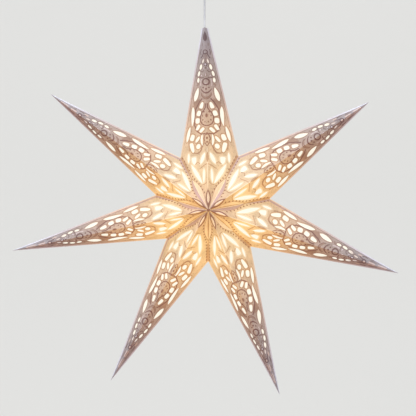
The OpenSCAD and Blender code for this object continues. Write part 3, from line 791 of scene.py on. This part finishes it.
# painted light and shade on paper that faces down: a warmer, stronger glow and a darker colour
paintedWarmLightBelow = (1.18, 1.08, 0.84, 1)
paintedShadeBelow = (0.74, 0.62, 0.58, 1)
sheet = {
    # name: share of the glow, share of the sheet's colour, cloudiness, flecks
    "starPaper": ((1, 1, 1), (1, 1, 1), 0.14, 0.2),
    "printedLine": ((0.5, 0.32, 0.28), (0.42, 0.36, 0.38), 0.1, 0),
    "printedShade": ((0.76, 0.62, 0.5), (0.8, 0.74, 0.72), 0.14, 0.15),
    # the pale tone: pale print, cut edges, and a painted highlight along the creased rims
    "paleAndRimHighlight": ((1.02, 1.05, 1.15), (1.55, 1.5, 1.55), 0.06, 0.05),
    # painted lilac light, on faces that look up
    "paintedLitPaper": ((0.72, 0.64, 0.85), (0.95, 0.9, 1.1), 0.08, 0.1),
    "creaseLine": ((1.1, 1.2, 1.4), (1.4, 1.4, 1.4), 0.06, 0),
    # a painted glow around the cuts near the centre
    "haloPaper": ((1.1, 1.25, 1.5), (1, 1, 1), 0.06, 0),
    "glowingLiner": ((1, 1, 1), (1, 1, 1), 0.03, 0),
    "glueFlap": ((0.5, 0.5, 0.6), (1.6, 1.4, 1.3), 0.08, 0.1),
    "linerInside": ((0.7, 0.53, 0.38), (1, 1, 1), 0.08, 0.1),
    "tipFleck": ((1.2, 1.3, 1.2), (1.9, 1.5, 1.32), 0.1, 0.1),
    # a painted glow along the edges of the middle cuts
    "paintedCutGlow": ((1.25, 1.3, 1.25), (1.12, 1.1, 1.06), 0.06, 0),
}
ramps = {
    "paleAndRimHighlight": (lampGlow, paleAndRimHighlightColour),
    "glowingLiner": (linerGlow, linerColour),
    "linerInside": (linerGlow, linerColour),
}
paperTexture = {
    "clouds": 70.0,
    "flecks": 330.0,
    "fibres": 650.0,
    "roughness": 0.82,
    "gloss": 0.25,
    "bump": 0.35,
    "bumpDepth": 0.0004,
}


def makeLitPaper(name):
    glow, own = ramps.get(name, (lampGlow, sheetColour))
    glowShare, ownShare, cloudiness, flecks = sheet[name]
    material, tree, shader = newMaterial(name)
    distance = placeGroup(tree, rayDistance)
    fibre = placeGroup(tree, paperFibre, Cloud_Scale=paperTexture["clouds"], Fleck_Scale=paperTexture["flecks"],
                       Fibre_Scale=paperTexture["fibres"])
    shade = addBand(tree, fibre.outputs["Cloud"], 0.3, 0.7, 1 - cloudiness, 1 + cloudiness / 2)
    flecked = addNode(tree, "ShaderNodeMath", operation="MULTIPLY_ADD")
    flecked.inputs[1].default_value = -flecks
    tree.links.new(fibre.outputs["Fleck"], flecked.inputs[0])
    tree.links.new(shade, flecked.inputs[2])
    for label, stops, share in (("Base Color", own, ownShare), ("Emission Color", glow, glowShare)):
        shared = [(position, (*[c * part for c, part in zip(colour, share)], 1)) for position, colour in stops]
        ramp = addRamp(tree, shared)
        tree.links.new(distance.outputs["Share"], ramp.inputs["Fac"])
        colour = ramp.outputs["Color"]
        # Paper that faces down gets painted shade in its colour and a painted warmer glow
        if glow is lampGlow:
            below = placeGroup(tree, facing)
            tint = paintedWarmLightBelow if stops is glow else paintedShadeBelow
            colour = mixColour(tree, below.outputs["Below"], colour, tint, "MULTIPLY")
        clouded = addNode(tree, "ShaderNodeVectorMath", operation="SCALE")
        tree.links.new(colour, clouded.inputs[0])
        tree.links.new(flecked.outputs["Value"], clouded.inputs["Scale"])
        tree.links.new(clouded.outputs["Vector"], shader.inputs[label])
    shader.inputs["Emission Strength"].default_value = 1.0
    shader.inputs["Roughness"].default_value = paperTexture["roughness"]
    shader.inputs["Specular IOR Level"].default_value = paperTexture["gloss"]
    addBump(tree, fibre.outputs["Fibre"], paperTexture["bump"], paperTexture["bumpDepth"], shader)
    return material


starMaterials = [makeLitPaper(name) for name in sheet]

for index in range(faceCount):
    flat = flatFace(faceFrame(index, -1))
    ray = (index + 1) % faceCount // 2 + 1
    turn = "left" if index % 2 == 0 else "right"
    for side, word in ((-1, "front"), (1, "back")):
        node = f"ray_{ray}_{word}_{turn}"
        piece = buildFace(f"paperRay{ray}{word.title()}{turn.title()}", index, side, flat)
        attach(piece, node)
        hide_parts(node)
report("paper star")


def dress(node, material):
    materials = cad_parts[node].data.materials
    materials.clear()
    materials.append(material)


# String at the seam
def makeCotton():
    material, tree, shader = newMaterial("cottonString")
    grain = placeGroup(tree, surfaceGrain, Grain_Scale=2500.0, Wear_Scale=200.0)
    colour = mixColour(tree, grain.outputs["Grain"], toLinear(226, 216, 198), toLinear(196, 182, 158))
    tree.links.new(colour, shader.inputs["Base Color"])
    shader.inputs["Roughness"].default_value = 0.9
    shader.inputs["Sheen Weight"].default_value = 0.3
    addBump(tree, grain.outputs["Grain"], 0.5, 0.0003, shader)
    return material


dress("seam_tie", makeCotton())
report("string tie")


# Fittings, which keep their own solids
def makeFinish(name, colour, worn, roughness, metallic=0.0, coat=0.0, grainScale=900.0, bump=0.15):
    material, tree, shader = newMaterial(name)
    grain = placeGroup(tree, surfaceGrain, Grain_Scale=grainScale, Wear_Scale=60.0)
    mixed = mixColour(tree, grain.outputs["Wear"], toLinear(*colour), toLinear(*worn))
    tree.links.new(mixed, shader.inputs["Base Color"])
    rough = addBand(tree, grain.outputs["Grain"], 0.0, 1.0, roughness * 0.85, min(1, roughness * 1.2))
    tree.links.new(rough, shader.inputs["Roughness"])
    shader.inputs["Metallic"].default_value = metallic
    shader.inputs["Coat Weight"].default_value = coat
    addBump(tree, grain.outputs["Grain"], bump, 0.0002, shader)
    return material


def makeWood():
    material, tree, shader = newMaterial("turnedBeech")
    place = addNode(tree, "ShaderNodeTexCoord")
    stretch = addNode(tree, "ShaderNodeMapping")
    stretch.inputs["Scale"].default_value = (1, 1, 0.08)
    grain = addNode(tree, "ShaderNodeTexNoise", Scale=420.0, Detail=5.0, Roughness=0.6)
    tree.links.new(place.outputs["Object"], stretch.inputs["Vector"])
    tree.links.new(stretch.outputs["Vector"], grain.inputs["Vector"])
    ramp = addRamp(tree, [(0.35, toLinear(206, 166, 116)), (0.7, toLinear(170, 122, 76))])
    tree.links.new(grain.outputs["Fac"], ramp.inputs["Fac"])
    tree.links.new(ramp.outputs["Color"], shader.inputs["Base Color"])
    shader.inputs["Roughness"].default_value = 0.6
    addBump(tree, grain.outputs["Fac"], 0.3, 0.0002, shader)
    return material


def makeGlass(name, tint, emission, strength, transmission, roughness):
    material, tree, shader = newMaterial(name)
    grain = placeGroup(tree, surfaceGrain, Grain_Scale=300.0, Wear_Scale=30.0)
    mixed = mixColour(tree, grain.outputs["Wear"], toLinear(*tint), toLinear(*[c * 0.97 for c in tint]))
    tree.links.new(mixed, shader.inputs["Base Color"])
    shader.inputs["Transmission Weight"].default_value = transmission
    shader.inputs["Roughness"].default_value = roughness
    shader.inputs["Emission Color"].default_value = toLinear(*emission)
    shader.inputs["Emission Strength"].default_value = strength
    addBump(tree, grain.outputs["Grain"], 0.05, 0.0002, shader)
    return material


finishes = [
    (makeFinish("zincSteel", (196, 198, 202), (158, 160, 166), 0.36, metallic=1.0),
     ["ceiling_bracket", "cup_side_screws", "cup_grip_nut", "cup_grip_screw", "cord_stop_screw",
      "holder_grip_screw"]),
    (makeFinish("nickelPlate", (208, 204, 198), (180, 174, 166), 0.22, metallic=1.0), ["cord_stop"]),
    (makeFinish("whitePaint", (232, 232, 229), (222, 221, 216), 0.38, coat=0.2, grainScale=500.0, bump=0.25),
     ["ceiling_cup"]),
    (makeFinish("whiteThermoplastic", (230, 228, 222), (220, 217, 208), 0.33),
     ["terminal_block", "cup_grip", "holder_cord_grip", "holder_dome", "holder_skirt", "holder_ring"]),
    (makeFinish("ivoryMoulding", (222, 214, 192), (206, 196, 170), 0.55), ["holder_core"]),
    (makeFinish("brightBrass", (226, 188, 110), (186, 146, 78), 0.26, metallic=1.0),
     ["terminal_screws", "holder_terminal_screws", "holder_screw_shell", "holder_contact"]),
    (makeFinish("coreSheath", (112, 72, 46), (96, 60, 38), 0.45), ["cup_cores", "holder_cores"]),
    (makeFinish("pressedCap", (206, 207, 210), (176, 178, 182), 0.3, metallic=1.0),
     ["bulb_screw_cap", "bulb_tip_contact"]),
    (makeFinish("blackGlaze", (24, 24, 26), (38, 36, 36), 0.2, coat=0.4), ["bulb_insulator"]),
    (makeWood(), ["tip_cone"]),
    (makeGlass("opalGlass", (232, 222, 202), (255, 230, 186), 0.38, 0.1, 0.25), ["bulb_glass"]),
    (makeGlass("clearStem", (236, 242, 242), (255, 240, 214), 0.1, 0.9, 0.06), ["bulb_stem"]),
    (makeGlass("litFilament", (255, 214, 130), (255, 206, 128), 1.5, 0.0, 0.5), ["bulb_filaments"]),
    (cordSheath, ["cord_in_cup"]),
]
for material, nodes in finishes:
    for node in nodes:
        dress(node, material)
report("fittings")

# Floor and light
studio = {
    "floorHeight": -1.05,  # m, as are the next five
    "floorFront": -6.0,
    "wallDepth": 1.6,
    "wallTop": 3.5,
    "bendRadius": 0.7,
    "width": 9.0,
    "bendSteps": 12,
    "tone": (226, 226, 224),
    "evenness": 0.8,
    "worldStrength": 0.35,
    "lamps": [
        # place, aim, size, power
        ((-0.6, -1.5, 1.7), (0, 0, -0.4), 1.8, 73),
        ((1.9, -1.9, 0.2), (0, 0, -0.4), 1.8, 8),
        ((0.3, 1.3, 0.9), (0, 0, -0.4), 1.2, 8),
    ],
}


def seenStraight(tree):
    # 1 for rays from the camera, and for those that metal or glass sends on
    path = addNode(tree, "ShaderNodeLightPath")
    total = path.outputs["Is Camera Ray"]
    for name in ("Is Glossy Ray", "Is Transmission Ray"):
        either = addNode(tree, "ShaderNodeMath", operation="ADD", use_clamp=True)
        tree.links.new(total, either.inputs[0])
        tree.links.new(path.outputs[name], either.inputs[1])
        total = either.outputs["Value"]
    return total


def addSweep():
    floor, wall, half = studio["floorHeight"], studio["wallDepth"], studio["width"] / 2
    bend, steps = studio["bendRadius"], studio["bendSteps"]
    profile = [(studio["floorFront"], floor), (wall - bend, floor)]
    for k in range(1, steps):
        angle = math.radians(-90 + 90 * k / steps)
        profile.append((wall - bend + bend * math.cos(angle), floor + bend + bend * math.sin(angle)))
    profile += [(wall, floor + bend), (wall, studio["wallTop"])]
    points = [(x, y, z) for y, z in profile for x in (-half, half)]
    faces = [(2 * k, 2 * k + 1, 2 * k + 3, 2 * k + 2) for k in range(len(profile) - 1)]
    material, tree, shader = newMaterial("paleSweep")
    grain = placeGroup(tree, surfaceGrain, Grain_Scale=12.0, Wear_Scale=2.0)
    tone = studio["tone"]
    mixed = mixColour(tree, grain.outputs["Wear"], toLinear(*tone), toLinear(*[c * 0.99 for c in tone]))
    tree.links.new(mixed, shader.inputs["Base Color"])
    shader.inputs["Roughness"].default_value = 0.9
    # far from the lamps it still looks pale, and seen from outside it lets the camera look in
    amount = addNode(tree, "ShaderNodeMath", operation="MULTIPLY")
    amount.inputs[1].default_value = studio["evenness"]
    pale = addNode(tree, "ShaderNodeEmission", Color=toLinear(*tone), Strength=1.0)
    side = addNode(tree, "ShaderNodeNewGeometry")
    clear = addNode(tree, "ShaderNodeBsdfTransparent")
    evened, either = addNode(tree, "ShaderNodeMixShader"), addNode(tree, "ShaderNodeMixShader")
    tree.links.new(seenStraight(tree), amount.inputs[0])
    tree.links.new(amount.outputs["Value"], evened.inputs["Fac"])
    tree.links.new(shader.outputs["BSDF"], evened.inputs[1])
    tree.links.new(pale.outputs["Emission"], evened.inputs[2])
    tree.links.new(side.outputs["Backfacing"], either.inputs["Fac"])
    tree.links.new(evened.outputs["Shader"], either.inputs[1])
    tree.links.new(clear.outputs["BSDF"], either.inputs[2])
    tree.links.new(either.outputs["Shader"], tree.nodes["Material Output"].inputs["Surface"])
    sweep = addMesh("studioSweep", points, faces, [material], smooth=True)


def makeWorld():
    # Soft cool light, with the sweep's own tone where the camera, metal or glass looks past the sweep
    world = bpy.data.worlds.new("studio")
    world.use_nodes = True
    tree = world.node_tree
    light = tree.nodes["Background"]
    light.inputs["Color"].default_value = (0.95, 0.97, 1.0, 1)
    light.inputs["Strength"].default_value = studio["worldStrength"]
    seen = addNode(tree, "ShaderNodeBackground", Color=toLinear(*studio["tone"]), Strength=1.0)
    either = addNode(tree, "ShaderNodeMixShader")
    tree.links.new(seenStraight(tree), either.inputs["Fac"])
    tree.links.new(light.outputs["Background"], either.inputs[1])
    tree.links.new(seen.outputs["Background"], either.inputs[2])
    tree.links.new(either.outputs["Shader"], tree.nodes["World Output"].inputs["Surface"])
    bpy.context.scene.world = world


addSweep()
makeWorld()
for number, (place, aim, size, power) in enumerate(studio["lamps"]):
    lampData = bpy.data.lights.new(f"softLamp{number}", "AREA")
    lampData.size = size
    lampData.energy = power
    lamp = bpy.data.objects.new(f"softLamp{number}", lampData)
    lamp.location = place
    lamp.rotation_euler = (Vector(aim) - Vector(place)).to_track_quat("-Z", "Y").to_euler()
    bpy.context.scene.collection.objects.link(lamp)
report("studio")
